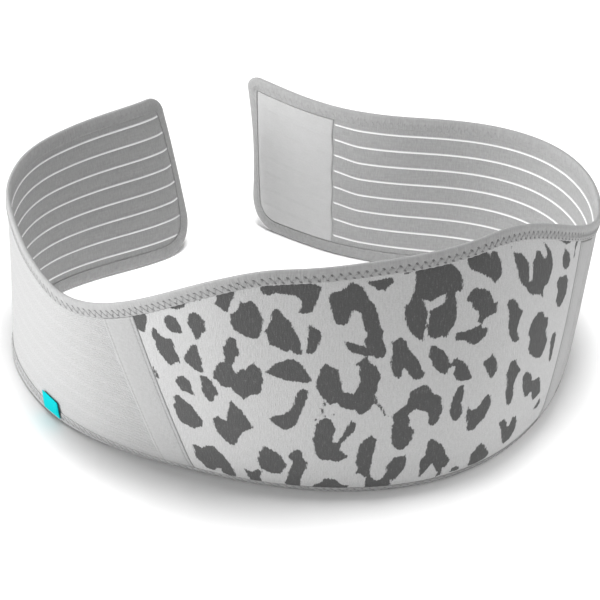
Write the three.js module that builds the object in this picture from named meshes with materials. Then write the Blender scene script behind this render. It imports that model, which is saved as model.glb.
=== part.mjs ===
// Maternity support belt, standing open on its lower edge as it does when it is taken off.
// Two ribbed elastic wings carry a taller printed front panel. A slanted strip covers each join,
// one folded binding runs round the whole edge, and the right wing's end carries the hook patch.
// Millimetres, Z up. The origin is on the floor under the middle of the belt, and the panel faces -Y.

import * as THREE from 'three';
import { mergeVertices } from 'three/addons/utils/BufferGeometryUtils.js';

// Cut sizes of the belt laid flat
const BELT_LENGTH = 1120;
const WING_HEIGHT = 138;
const PANEL_HEIGHT = 214;
const WING_THICK = 2.2;
const PANEL_THICK = 2.8;

// Fold-over binding round the whole edge
const BINDING_WIDTH = 11;
const BINDING_THICK = 1;
const BINDING_ROUND = 0.9;

// Woven ribs along the inner face of each wing
const RIB_PITCH = 14.9;
const RIB_WIDTH = 2.2;
const RIB_RISE = 0.9;
const RIB_MARGIN = 16;
const RIB_END = 1;

// Slanted strips over the joins, the hook patch and the small side label
const STRIP_WIDTH = 25;
const STRIP_THICK = 1;
const STRIP_SLANT = 13.5;
const SLANT_HOLD_LENGTH = 2;
const SLANT_FADE_LENGTH = 125;
const PATCH_REACH = 81;
const PATCH_THICK = 0.9;
const LABEL_WIDTH = 20;
const LABEL_HEIGHT = 16;
const LABEL_THICK = 1;
const LABEL_RAISED = 5;

// Clearances: between neighbouring pieces, beside cloth held in the binding, under a tape laid over others,
// and at the bottom of the binding's fold
const CLEARANCE = 0.4;
const SEAT_CLEARANCE = 0.5;
const TAPE_CLEARANCE = 0.55;
const FOLD_CLEARANCE = 0.7;

// Places along the belt, as shares of its length from either free end
const JOIN_SHARE = 0.352;
const RISE_FROM = 0.285;
const RISE_TO = 0.44;
const TUCK_FROM = 0.22;
const TUCK_TO = 0.38;
const LABEL_SHARE = 0.265;

// How the lower edge rolls under along the front: degrees at the floor, and how high the roll reaches
const TUCK_ANGLE = 40;
const TUCK_HEIGHT = 30;
const SETTLE_DEPTH = 1;

// Free ends: corner radii, how far mid height reaches past the belt's length, how much further the top corner
// reaches than mid height does, and how far both corners fall back
const LEFT_END = { topRadius: 16, bottomRadius: 28, reach: 7, slant: -3, bow: 9 };
const RIGHT_END = { topRadius: 14, bottomRadius: 28, reach: 3.5, slant: 4.5, bow: 2 };
const END_FADE_LENGTH = 84;

// Just inside each end's binding the cloth turns outwards, by this many degrees at mid height
const CURL_WIDTH = 10;
const CURL_ANGLE = 32;

// How the standing belt curves, a row for each twentieth of its length from the left wing's free end,
// round the front, to the right wing's free end. In degrees: heading is the way the cloth runs, from +X
// towards +Y, lean is its tilt outwards at mid height, and bow the change of tilt from bottom to top.
const FORM = [
  { heading: 225, lean: 12, bow: 6 },
  { heading: 206, lean: 10, bow: 1 },
  { heading: 216, lean: 5, bow: 0 },
  { heading: 253, lean: 0, bow: 1 },
  { heading: 286, lean: -2, bow: 2 },
  { heading: 305, lean: 1, bow: -1 },
  { heading: 325, lean: 6, bow: -4 },
  { heading: 337, lean: 8, bow: -6 },
  { heading: 342, lean: 8, bow: -8 },
  { heading: 353, lean: 5, bow: -12 },
  { heading: 368, lean: 2, bow: -17 },
  { heading: 389, lean: 1, bow: -21 },
  { heading: 411, lean: 1, bow: -19 },
  { heading: 426, lean: 4, bow: -9 },
  { heading: 441, lean: 7, bow: -2 },
  { heading: 470, lean: 7, bow: -6 },
  { heading: 507, lean: 5, bow: -13 },
  { heading: 527, lean: 3, bow: -10 },
  { heading: 522, lean: 1, bow: -2 },
  { heading: 508, lean: 1, bow: 6 },
  { heading: 505, lean: 3, bow: 5 },
];

// Fineness of the faceted cloth, and how closely its rows crowd together at a corner
const COLUMNS = 72;
const PANEL_ROWS = 8;
const ROLL_ROW_HEIGHT = 22.5;
const FIRST_EVEN_HEIGHT = 45;
const CORNER_STEPS = 4;
const END_STEPS = 7;
const FOOT_STEPS = 560;
const CLIMB_STEP = 1;
const CROWDING = 0.12;
const SETTLING_ROUNDS = 5;

const column = BELT_LENGTH / COLUMNS;
const joinAt = JOIN_SHARE * BELT_LENGTH;
const wingHalf = WING_THICK / 2;
const panelHalf = PANEL_THICK / 2;
const seatHalf = Math.max(wingHalf, panelHalf) + SEAT_CLEARANCE;
const bindingHalf = seatHalf + BINDING_THICK;
const foldSeat = BINDING_THICK + FOLD_CLEARANCE;
const bindingEdge = BINDING_WIDTH + CLEARANCE;

const formCurve = new THREE.CatmullRomCurve3(
  FORM.map((row) => new THREE.Vector3(row.heading, row.lean, row.bow)),
  false,
  'catmullrom',
);

function formAt(u) {
  const share = THREE.MathUtils.clamp(u / BELT_LENGTH, 0, 1);
  return formCurve.getPoint(share).multiplyScalar(THREE.MathUtils.DEG2RAD);
}

// 0 on the wings and 1 on the panel, the same towards both ends
function towardsPanel(u, from, to) {
  const share = u / BELT_LENGTH;
  return THREE.MathUtils.smoothstep(Math.min(share, 1 - share), from, to);
}

function heightAt(u) {
  return WING_HEIGHT + (PANEL_HEIGHT - WING_HEIGHT) * towardsPanel(u, RISE_FROM, RISE_TO);
}

function tiltAt(form, u, t) {
  const roll = Math.max(0, 1 - t / TUCK_HEIGHT);
  const tuck = TUCK_ANGLE * THREE.MathUtils.DEG2RAD * towardsPanel(u, TUCK_FROM, TUCK_TO);
  return form.y + form.z * (t / heightAt(u) - 0.5) + tuck * roll * roll;
}

// The line where the cloth's middle meets the floor, walked along the headings
const foot = [new THREE.Vector2()];
for (let i = 0; i < FOOT_STEPS; i++) {
  const stride = BELT_LENGTH / FOOT_STEPS;
  const { x: heading } = formAt((i + 0.5) * stride);
  foot.push(new THREE.Vector2(Math.cos(heading), Math.sin(heading)).multiplyScalar(stride).add(foot[i]));
}

// Past the free ends the line runs straight on
function footAt(u) {
  const place = u / BELT_LENGTH * FOOT_STEPS;
  const before = THREE.MathUtils.clamp(Math.floor(place), 0, FOOT_STEPS - 1);
  return foot[before].clone().lerp(foot[before + 1], place - before);
}

// Each free end is drawn out to its own outline and curls outwards between its corners
function atFreeEnd(u, t, off) {
  const left = u < BELT_LENGTH / 2;
  const end = left ? LEFT_END : RIGHT_END;
  const inward = left ? u : BELT_LENGTH - u;
  const level = 2 * t / WING_HEIGHT - 1;
  const fade = Math.max(0, 1 - inward / END_FADE_LENGTH);
  const drawn = fade * (end.reach + end.slant * level - end.bow * level * level);
  const curled = THREE.MathUtils.clamp(BINDING_WIDTH + CURL_WIDTH - inward, 0, CURL_WIDTH);
  const bend = CURL_ANGLE * THREE.MathUtils.DEG2RAD / CURL_WIDTH * Math.max(0, 1 - level * level);
  if (curled === 0 || bend === 0) return { along: left ? u - drawn : u + drawn, depth: off };
  const turn = bend * curled;
  const bound = Math.max(0, BINDING_WIDTH - inward);
  const shortened = curled - Math.sin(turn) / bend + bound * (1 - Math.cos(turn)) + off * Math.sin(turn);
  const past = drawn - shortened;
  const depth = (1 - Math.cos(turn)) / bend + bound * Math.sin(turn) + off * Math.cos(turn);
  return { along: left ? u - past : u + past, depth };
}

// The point of the standing belt at length u along the cloth, height t up it and depth off outwards
function place(u, t, off) {
  const { along, depth } = atFreeEnd(u, t, off);
  const form = formAt(along);
  const footing = footAt(along);
  const steps = Math.ceil(t / CLIMB_STEP);
  let out = 0;
  let up = bindingHalf * Math.abs(Math.sin(tiltAt(form, along, 0)));
  for (let i = 0; i < steps; i++) {
    const tilt = tiltAt(form, along, (i + 0.5) * t / steps);
    out += Math.sin(tilt) * t / steps;
    up += Math.cos(tilt) * t / steps;
  }
  const tilt = tiltAt(form, along, t);
  out += Math.cos(tilt) * depth;
  up -= Math.sin(tilt) * depth;
  return new THREE.Vector3(footing.x + Math.sin(form.x) * out, footing.y - Math.cos(form.x) * out, up);
}

// The joins slant: their lower ends lie nearer to the middle of the panel
function slanted(u, t) {
  const mirrored = u > BELT_LENGTH / 2;
  const inward = mirrored ? BELT_LENGTH - u : u;
  const away = Math.abs(inward - joinAt);
  const weight = 1 - THREE.MathUtils.smoothstep(away, STRIP_WIDTH / 2 + SLANT_HOLD_LENGTH, SLANT_FADE_LENGTH);
  const reach = heightAt(joinAt) * Math.tan(STRIP_SLANT * THREE.MathUtils.DEG2RAD);
  const shift = weight * reach * (0.5 - t / heightAt(u));
  return mirrored ? u - shift : u + shift;
}

function edgeSlope(u) {
  return (heightAt(u + 1) - heightAt(u - 1)) / 2;
}

// Lowest and highest point of the belt's outline, drawn in by inset, at length u
function edgeLimits(u, inset) {
  const end = u < BELT_LENGTH / 2 ? LEFT_END : RIGHT_END;
  const inward = Math.min(u, BELT_LENGTH - u);
  const cornerRise = (radius) => {
    const reach = Math.max(0, radius - inward);
    const bend = Math.max(0, radius - inset);
    return radius - Math.sqrt(Math.max(0, bend * bend - reach * reach)) - inset;
  };
  return {
    low: inset + Math.max(0, cornerRise(end.bottomRadius)),
    high: heightAt(u) - inset * Math.hypot(1, edgeSlope(u)) - Math.max(0, cornerRise(end.topRadius)),
  };
}

// Rows of cloth lie at their own height from the floor up to the row called fixed, and from there they
// follow the top edge more and more. They crowd together a little where a corner cuts them off.
function rowHeight(t, u, inset, nominal, fixed) {
  const follow = THREE.MathUtils.clamp((t - fixed) / (nominal - BINDING_WIDTH - fixed), 0, 1);
  let height = t;
  for (let i = 0; i < SETTLING_ROUNDS; i++) {
    const along = slanted(u, height);
    const { low, high } = edgeLimits(along, inset);
    const lowest = low + CROWDING * Math.max(0, t - inset) * (low > inset);
    const highest = high - (nominal - inset - t) * Math.hypot(1, edgeSlope(along));
    const free = t + (highest - t) * follow;
    height = Math.max(lowest, Math.min(free, high - CROWDING * (nominal - inset - t)));
  }
  return height;
}

// Columns every fourteen millimetres or so between two places, with both places kept
function columnsBetween(from, to, extra = []) {
  const kept = [from, ...extra, to];
  const all = [];
  for (let i = 1; i < COLUMNS; i++) {
    const u = i * column;
    if (u > from && u < to && kept.every((other) => Math.abs(other - u) > column / 4)) all.push(u);
  }
  return [...all, ...kept].sort((a, b) => a - b);
}

function closedBody(geometry) {
  geometry.deleteAttribute('normal');
  geometry.deleteAttribute('uv');
  const body = mergeVertices(geometry);
  body.computeVertexNormals();
  return body;
}

// A flat sheet bent into place, with the given rows and columns of corners. spot gives the point of the
// corner at length u and row t, on the outer face where side is 1 and on the inner one where it is -1.
function bentSheet(rows, columns, spot) {
  const sheet = new THREE.BoxGeometry(1, 1, 1, columns.length - 1, rows.length - 1, 1);
  const points = sheet.getAttribute('position');
  for (let i = 0; i < points.count; i++) {
    const u = columns[Math.round((points.getX(i) + 0.5) * (columns.length - 1))];
    const t = rows[Math.round((points.getY(i) + 0.5) * (rows.length - 1))];
    const { x, y, z } = spot(u, t, Math.sign(points.getZ(i)));
    points.setXYZ(i, x, y, z);
  }
  return closedBody(sheet);
}

function spread(from, to, count) {
  return Array.from({ length: count }, (_, i) => from + (to - from) * i / (count - 1));
}

const ribCount = Math.floor((WING_HEIGHT - 2 * RIB_MARGIN) / RIB_PITCH) + 1;
const firstRib = WING_HEIGHT / 2 - (ribCount - 1) / 2 * RIB_PITCH;
const ribs = Array.from({ length: ribCount }, (_, i) => firstRib + i * RIB_PITCH);

// Ribbed elastic: ridges stand on the inner face and stop short of the binding and of the hook patch
function wing(columns, ribsFrom, ribsTo) {
  const ridges = ribs.flatMap((t) => [t - RIB_WIDTH / 2, t, t + RIB_WIDTH / 2]);
  const rows = [foldSeat, BINDING_WIDTH, ...ridges, WING_HEIGHT - BINDING_WIDTH, WING_HEIGHT - foldSeat];
  const lastRib = ribs[ribCount - 1] + RIB_WIDTH / 2;
  return bentSheet(rows, columns, (u, t, side) => {
    const open = edgeLimits(u, bindingEdge).low < t - RIB_WIDTH / 2;
    const crest = side < 0 && open && ribs.includes(t) && u >= ribsFrom && u <= ribsTo;
    const height = rowHeight(t, u, foldSeat, WING_HEIGHT, lastRib);
    return place(slanted(u, height), height, side * (wingHalf + (crest ? RIB_RISE : 0)));
  });
}

function leftWing() {
  const corners = spread(foldSeat, bindingEdge, 4);
  const ribsFrom = bindingEdge + RIB_END;
  const curl = [BINDING_WIDTH + CURL_WIDTH / 2, BINDING_WIDTH + CURL_WIDTH].filter((u) => u > ribsFrom);
  const columns = columnsBetween(foldSeat, joinAt - CLEARANCE / 2, [...corners.slice(1), ribsFrom, ...curl]);
  return wing(columns, ribsFrom, BELT_LENGTH);
}

function rightWing() {
  const end = BELT_LENGTH - foldSeat;
  const corners = spread(BELT_LENGTH - bindingEdge, end, 4);
  const patchEdge = BELT_LENGTH - PATCH_REACH - CLEARANCE;
  const ribsTo = patchEdge - RIB_END;
  const start = BELT_LENGTH - joinAt + CLEARANCE / 2;
  const columns = columnsBetween(start, end, [ribsTo, patchEdge, ...corners.slice(0, -1)]);
  return wing(columns, 0, ribsTo);
}

// Rows of the panel: close together where its foot rolls under, then even up to the upper binding
const evenRows = spread(FIRST_EVEN_HEIGHT, PANEL_HEIGHT - BINDING_WIDTH, PANEL_ROWS);
const panelRows = [BINDING_WIDTH, ROLL_ROW_HEIGHT, ...evenRows];

function panelHeight(t, u, inset) {
  return rowHeight(t, u, inset, PANEL_HEIGHT, TUCK_HEIGHT);
}

function frontPanel() {
  const heights = [foldSeat, ...panelRows, PANEL_HEIGHT - foldSeat];
  const columns = columnsBetween(joinAt + CLEARANCE / 2, BELT_LENGTH - joinAt - CLEARANCE / 2);
  return bentSheet(heights, columns, (u, t, side) => {
    const height = panelHeight(t, u, foldSeat);
    return place(slanted(u, height), height, side * panelHalf);
  });
}

// A tape over the join, on the outside, from the lower binding to the upper one
function joinStrip(middle) {
  const heights = [bindingEdge, ...panelRows.slice(1, -1), PANEL_HEIGHT - bindingEdge];
  const columns = [middle - STRIP_WIDTH / 2, middle, middle + STRIP_WIDTH / 2];
  const inner = Math.max(wingHalf, panelHalf) + TAPE_CLEARANCE;
  return bentSheet(heights, columns, (u, t, side) => {
    const height = panelHeight(t, u, bindingEdge);
    return place(slanted(u, height), height, side > 0 ? inner + STRIP_THICK : inner);
  });
}

// Smooth patch on the inner face of the right wing's end, inside the binding
function hookPatch() {
  const outer = -wingHalf - TAPE_CLEARANCE;
  const inset = BINDING_WIDTH + TAPE_CLEARANCE;
  const heights = spread(inset, WING_HEIGHT - inset, 8);
  const end = BELT_LENGTH - inset;
  const corners = spread(end - BINDING_WIDTH, end, 4).slice(0, -1);
  const columns = columnsBetween(BELT_LENGTH - PATCH_REACH, end, corners);
  return bentSheet(heights, columns, (u, t, side) => {
    const height = rowHeight(t, u, inset, WING_HEIGHT, WING_HEIGHT / 2);
    return place(u, height, side > 0 ? outer : outer - PATCH_THICK);
  });
}

// Small bare label folded up over the binding at the foot of the left wing
function sideLabel() {
  const middle = LABEL_SHARE * BELT_LENGTH;
  const heights = [LABEL_RAISED, BINDING_WIDTH, LABEL_RAISED + LABEL_HEIGHT];
  const inner = bindingHalf + TAPE_CLEARANCE;
  const columns = [middle - LABEL_WIDTH / 2, middle, middle + LABEL_WIDTH / 2];
  return bentSheet(heights, columns, (u, t, side) => place(u, t, side > 0 ? inner + LABEL_THICK : inner));
}

// The belt's outline on the flat cloth, once round, with the way inwards at each point
function outline() {
  const points = [];
  const add = (u, t, inU, inT) => points.push({ u, t, inU, inT });
  const corner = (u, t, radius, fromAngle) => {
    for (let i = 1; i < CORNER_STEPS; i++) {
      const angle = (fromAngle + 90 * i / CORNER_STEPS) * THREE.MathUtils.DEG2RAD;
      add(u + radius * Math.cos(angle), t + radius * Math.sin(angle), -Math.cos(angle), -Math.sin(angle));
    }
  };
  const rightLow = RIGHT_END.bottomRadius;
  const rightHigh = WING_HEIGHT - RIGHT_END.topRadius;
  const leftLow = LEFT_END.bottomRadius;
  const leftHigh = WING_HEIGHT - LEFT_END.topRadius;
  for (const u of columnsBetween(leftLow, BELT_LENGTH - rightLow)) add(u, 0, 0, 1);
  corner(BELT_LENGTH - rightLow, rightLow, rightLow, -90);
  for (const t of spread(rightLow, rightHigh, END_STEPS)) add(BELT_LENGTH, t, -1, 0);
  corner(BELT_LENGTH - RIGHT_END.topRadius, rightHigh, RIGHT_END.topRadius, 0);
  for (const u of columnsBetween(LEFT_END.topRadius, BELT_LENGTH - RIGHT_END.topRadius).reverse()) {
    const inwards = new THREE.Vector2(edgeSlope(u), -1).normalize();
    add(u, heightAt(u), inwards.x, inwards.y);
  }
  corner(LEFT_END.topRadius, leftHigh, LEFT_END.topRadius, 90);
  for (const t of spread(leftHigh, leftLow, END_STEPS)) add(0, t, 1, 0);
  corner(leftLow, leftLow, leftLow, 180);
  return points;
}

// One tape folded over the edge, all the way round. Its fold is flattened where it rests.
function edgeBinding() {
  const rim = outline();
  const crown = bindingHalf - BINDING_ROUND;
  const half = [
    { deep: 0, off: crown },
    { deep: BINDING_ROUND, off: bindingHalf },
    { deep: BINDING_WIDTH, off: bindingHalf },
    { deep: BINDING_WIDTH, off: seatHalf },
    { deep: BINDING_THICK, off: seatHalf },
  ];
  const section = [...half, ...half.toReversed().map(({ deep, off }) => ({ deep, off: -off }))];
  const ring = new THREE.TorusGeometry(2, 1, section.length, rim.length);
  const uv = ring.getAttribute('uv');
  const points = ring.getAttribute('position');
  for (let i = 0; i < points.count; i++) {
    const { u, t, inU, inT } = rim[Math.round(uv.getX(i) * rim.length) % rim.length];
    const { deep, off } = section[Math.round(uv.getY(i) * section.length) % section.length];
    const point = place(u + inU * deep, t + inT * deep, off);
    if (deep === 0) point.z = Math.max(0, point.z - SETTLE_DEPTH * (inT === 1));
    points.setXYZ(i, point.x, point.y, point.z);
  }
  return closedBody(ring);
}

function cloth(colour, roughness) {
  return new THREE.MeshStandardMaterial({ color: colour, roughness, metalness: 0 });
}

const belt = new THREE.Group();

function addPiece(name, geometry, material) {
  const piece = new THREE.Mesh(geometry, material);
  piece.name = name;
  belt.add(piece);
}

addPiece('front_panel', frontPanel(), cloth(0xc8c8c8, 0.9));
addPiece('left_wing', leftWing(), cloth(0xdedede, 0.95));
addPiece('right_wing', rightWing(), cloth(0xdedede, 0.95));
addPiece('left_join_strip', joinStrip(joinAt), cloth(0xc4c4c4, 0.9));
addPiece('right_join_strip', joinStrip(BELT_LENGTH - joinAt), cloth(0xc4c4c4, 0.9));
addPiece('edge_binding', edgeBinding(), cloth(0xa8a8a8, 0.85));
addPiece('hook_patch', hookPatch(), cloth(0xc6c6c6, 0.8));
addPiece('side_label', sideLabel(), cloth(0x25c9cf, 0.6));

// Stand the belt with the middle of its box over the origin
const extent = new THREE.Box3().setFromObject(belt, true);
const middle = extent.getCenter(new THREE.Vector3());
belt.position.set(-middle.x, -middle.y, 0);

export default belt;
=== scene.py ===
"""Looks of the maternity support belt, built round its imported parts.

Each piece of cloth is modelled flat, in millimetres, with x along the belt from the left wing's free end,
y up from the lower edge and z outwards, and is then bent into the form in which the belt stands.
"""
import math

import bmesh
import bpy
import numpy as np
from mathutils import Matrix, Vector


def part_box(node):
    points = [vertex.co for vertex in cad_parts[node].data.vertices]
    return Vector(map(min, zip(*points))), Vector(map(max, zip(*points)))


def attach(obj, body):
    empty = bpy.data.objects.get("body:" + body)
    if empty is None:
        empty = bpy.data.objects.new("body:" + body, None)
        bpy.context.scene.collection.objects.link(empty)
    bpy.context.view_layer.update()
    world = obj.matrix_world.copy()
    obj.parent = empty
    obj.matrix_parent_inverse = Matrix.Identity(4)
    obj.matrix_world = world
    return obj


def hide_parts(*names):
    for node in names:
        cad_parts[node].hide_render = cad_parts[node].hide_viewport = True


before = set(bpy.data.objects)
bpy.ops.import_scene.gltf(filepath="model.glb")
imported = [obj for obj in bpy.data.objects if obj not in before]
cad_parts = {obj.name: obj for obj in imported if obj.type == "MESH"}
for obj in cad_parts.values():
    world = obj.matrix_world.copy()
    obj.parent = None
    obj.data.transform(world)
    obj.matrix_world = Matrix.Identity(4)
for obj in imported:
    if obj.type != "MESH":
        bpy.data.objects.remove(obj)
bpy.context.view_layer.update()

# Cut sizes of the belt, in millimetres, as its parts have them
BELT_LENGTH = 1120
WING_HEIGHT = 138
PANEL_HEIGHT = 214
WING_THICK = 2.2
PANEL_THICK = 2.8
BINDING_WIDTH = 11
BINDING_THICK = 1
RIB_PITCH = 14.9
RIB_COUNT = 8
RIB_WIDTH = 1.4
RIB_RISE = 0.9
STRIP_WIDTH = 25
STRIP_SLANT = 13.5
SLANT_HOLD = 2
SLANT_FADE = 125
PATCH_REACH = 81
LABEL_WIDTH = 20
LABEL_HEIGHT = 16
LABEL_THICK = 0.8
LABEL_RAISED = 5
CLEARANCE = 0.4
SEAT_CLEARANCE = 0.5
TAPE_CLEARANCE = 0.55
FOLD_CLEARANCE = 0.7

# Places along the belt, as shares of its length from either free end
JOIN_SHARE = 0.352
RISE_FROM, RISE_TO = 0.285, 0.44
TUCK_FROM, TUCK_TO = 0.22, 0.38
LABEL_SHARE = 0.265
TUCK_ANGLE = 40
TUCK_HEIGHT = 30
LEFT_END = {"top_radius": 16, "bottom_radius": 28, "reach": 7, "slant": -3, "bow": 9}
RIGHT_END = {"top_radius": 14, "bottom_radius": 28, "reach": 3.5, "slant": 4.5, "bow": 2}
END_FADE = 84
CURL_WIDTH = 10
CURL_ANGLE = 32

# The standing form, a row for each twentieth of the length: heading, lean and bow, in degrees
FORM = [
    (225, 12, 6), (206, 10, 1), (216, 5, 0), (253, 0, 1), (286, -2, 2), (305, 1, -1), (325, 6, -4),
    (337, 8, -6), (342, 8, -8), (353, 5, -12), (368, 2, -17), (389, 1, -21), (411, 1, -19), (426, 4, -9),
    (441, 7, -2), (470, 7, -6), (507, 5, -13), (527, 3, -10), (522, 1, -2), (508, 1, 6), (505, 3, 5),
]

JOIN_AT = JOIN_SHARE * BELT_LENGTH
WING_HALF = WING_THICK / 2
SEAT_HALF = max(WING_THICK, PANEL_THICK) / 2 + SEAT_CLEARANCE
BINDING_HALF = SEAT_HALF + BINDING_THICK
FOLD_SEAT = BINDING_THICK + FOLD_CLEARANCE
BINDING_EDGE = BINDING_WIDTH + CLEARANCE
MM = 0.001

# Half thicknesses of the pressed cloth that shows, and how proud of its cloth a tape sewn on to it lies
CLOTH_HALF = 1.1
PRESSED_HALF = 1.85
LAID_GAP = 0.1
PRESSED_TAPE = 0.5

# The form of the standing belt


def smoothstep(x, low, high):
    share = np.clip((x - low) / (high - low), 0, 1)
    return share * share * (3 - 2 * share)


def form_at(u):
    """Heading, lean and bow in radians at lengths u, on a smooth curve through the rows of FORM."""
    rows = np.array(FORM, float)
    rows = np.vstack([2 * rows[0] - rows[1], rows, 2 * rows[-1] - rows[-2]])
    place = np.clip(np.asarray(u, float) / BELT_LENGTH, 0, 1) * (len(FORM) - 1)
    before = np.minimum(place.astype(int), len(FORM) - 2)
    w = (place - before)[..., None]
    a, b, c, d = (rows[before + k] for k in range(4))
    curve = 2 * b + (c - a) * w + (2 * a - 5 * b + 4 * c - d) * w**2 + (3 * b - a - 3 * c + d) * w**3
    return np.moveaxis(np.radians(curve / 2), -1, 0)


def towards_panel(u, low, high):
    share = np.asarray(u, float) / BELT_LENGTH
    return smoothstep(np.minimum(share, 1 - share), low, high)


def height_at(u):
    return WING_HEIGHT + (PANEL_HEIGHT - WING_HEIGHT) * towards_panel(u, RISE_FROM, RISE_TO)


def inward_of(u):
    return np.minimum(u, BELT_LENGTH - u)


def end_size(u, name):
    return np.where(u < BELT_LENGTH / 2, LEFT_END[name], RIGHT_END[name])


FOOT_STEPS = 560
STAND_STEPS = 90
foot_places = np.linspace(0, BELT_LENGTH, FOOT_STEPS + 1)
foot_headings = form_at((foot_places[1:] + foot_places[:-1]) / 2)[0]
foot_stride = BELT_LENGTH / FOOT_STEPS
foot_x = np.concatenate([[0], np.cumsum(np.cos(foot_headings) * foot_stride)])
foot_y = np.concatenate([[0], np.cumsum(np.sin(foot_headings) * foot_stride)])


def foot_at(along):
    """Where the lower edge stands at these lengths. Past the free ends it runs straight on."""
    place = along / foot_stride
    before = np.clip(np.floor(place).astype(int), 0, FOOT_STEPS - 1)
    share = place - before
    return tuple(line[before] + (line[before + 1] - line[before]) * share for line in (foot_x, foot_y))


def at_free_end(u, t, off):
    """Lengths and depths once the free ends are drawn in and the cloth next to their binding is curled."""
    inward = inward_of(u)
    level = 2 * t / WING_HEIGHT - 1
    fade = np.maximum(0, 1 - inward / END_FADE)
    drawn = fade * (end_size(u, "reach") + end_size(u, "slant") * level - end_size(u, "bow") * level**2)
    curled = np.clip(BINDING_WIDTH + CURL_WIDTH - inward, 0, CURL_WIDTH)
    bend = np.maximum(1e-9, math.radians(CURL_ANGLE) / CURL_WIDTH * (1 - level**2))
    turn = bend * curled
    bound = np.maximum(0, BINDING_WIDTH - inward)
    shortened = curled - np.sin(turn) / bend + bound * (1 - np.cos(turn)) + off * np.sin(turn)
    past = drawn - shortened
    depth = (1 - np.cos(turn)) / bend + bound * np.sin(turn) + off * np.cos(turn)
    return np.where(u < BELT_LENGTH / 2, u - past, u + past), depth


def stand(flat):
    """Points of the standing belt, in millimetres, for points of the flat one: length, height and depth."""
    u, t, off = np.asarray(flat, float).T
    along, off = at_free_end(u, t, off)
    heading, lean, bend = form_at(along)
    height = height_at(along)
    tuck = math.radians(TUCK_ANGLE) * towards_panel(along, TUCK_FROM, TUCK_TO)

    def tilt_at(level):
        return lean + bend * (level / height - 0.5) + tuck * np.maximum(0, 1 - level / TUCK_HEIGHT) ** 2

    out = np.zeros_like(t)
    up = PRESSED_HALF * np.abs(np.sin(tilt_at(0 * t)))
    for i in range(STAND_STEPS):
        tilt = tilt_at((i + 0.5) * t / STAND_STEPS)
        out += np.sin(tilt) * t / STAND_STEPS
        up += np.cos(tilt) * t / STAND_STEPS
    tilt = tilt_at(t)
    out += np.cos(tilt) * off
    up -= np.sin(tilt) * off
    foot = foot_at(along)
    return np.column_stack([foot[0] + np.sin(heading) * out, foot[1] - np.cos(heading) * out, up])


def slanted(u, t):
    """The length at which a point of a slanted column lies: the joins lean towards the panel's foot."""
    away = np.abs(inward_of(u) - JOIN_AT)
    weight = 1 - smoothstep(away, STRIP_WIDTH / 2 + SLANT_HOLD, SLANT_FADE)
    reach = height_at(JOIN_AT) * math.tan(math.radians(STRIP_SLANT))
    shift = weight * reach * (0.5 - t / height_at(u))
    return np.where(u > BELT_LENGTH / 2, u - shift, u + shift)


def edge_slope(u):
    return (height_at(u + 1) - height_at(u - 1)) / 2


def edge_limits(u, inset):
    inward = inward_of(u)

    def corner_rise(radius):
        reach = np.maximum(0, radius - inward)
        bend = np.maximum(0, radius - inset)
        return np.maximum(0, radius - np.sqrt(np.maximum(0, bend**2 - reach**2)) - inset)

    low = inset + corner_rise(end_size(u, "bottom_radius"))
    high = height_at(u) - inset * np.hypot(1, edge_slope(u)) - corner_rise(end_size(u, "top_radius"))
    return low, high


CROWDING = 0.12
SETTLING_ROUNDS = 6


def row_height(t, u, inset, nominal, fixed):
    """Rows keep their own height up to the row called fixed, and from there follow the top edge."""
    follow = np.clip((t - fixed) / (nominal - BINDING_WIDTH - fixed), 0, 1)
    height = np.array(t, float)
    for _ in range(SETTLING_ROUNDS):
        along = slanted(u, height)
        low, high = edge_limits(along, inset)
        lowest = low + CROWDING * np.maximum(0, t - inset) * (low > inset)
        highest = high - (nominal - inset - t) * np.hypot(1, edge_slope(along))
        free = t + (highest - t) * follow
        height = np.maximum(lowest, np.minimum(free, high - CROWDING * (nominal - inset - t)))
    return height


# Building pieces: a sheet is a grid extruded to its thickness, and each corner is then moved to its place


def sheet(columns, rows, spot):
    """A closed sheet over the given columns and rows. spot moves its corners: it is given their length, row
    and side, 1 outside and -1 inside, and gives their flat places."""
    bm = bmesh.new()
    across, up = len(columns) - 1, len(rows) - 1
    bmesh.ops.create_grid(bm, x_segments=across, y_segments=up, size=0.5)
    made = bmesh.ops.extrude_face_region(bm, geom=bm.faces[:])
    lifted = [v for v in made["geom"] if isinstance(v, bmesh.types.BMVert)]
    bmesh.ops.translate(bm, verts=lifted, vec=(0, 0, 1))
    where = np.array([v.co for v in bm.verts])
    u = np.asarray(columns, float)[np.rint((where[:, 0] + 0.5) * across).astype(int)]
    t = np.asarray(rows, float)[np.rint((where[:, 1] + 0.5) * up).astype(int)]
    side = np.where(where[:, 2] > 0.5, 1.0, -1.0)
    for v, place in zip(bm.verts, spot(u, t, side)):
        v.co = place
    return bm, (u, t, side)


def tube(stations, sides, closed):
    """A closed tube or ring: a grid rolled up. Each of the stations has the flat places of one turn."""
    count = len(stations)
    bm = bmesh.new()
    bmesh.ops.create_grid(bm, x_segments=count if closed else count - 1, y_segments=sides, size=0.5)
    where = np.array([v.co for v in bm.verts])
    across = count if closed else count - 1
    i = np.rint((where[:, 0] + 0.5) * across).astype(int) % count
    j = np.rint((where[:, 1] + 0.5) * sides).astype(int) % sides
    for v, place in zip(bm.verts, np.asarray(stations, float)[i, j]):
        v.co = place
    return bm, (i, j)


def rows_between(low, high, spacing):
    return np.linspace(low, high, max(2, int(round((high - low) / spacing)) + 1))


pieces = []


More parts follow.
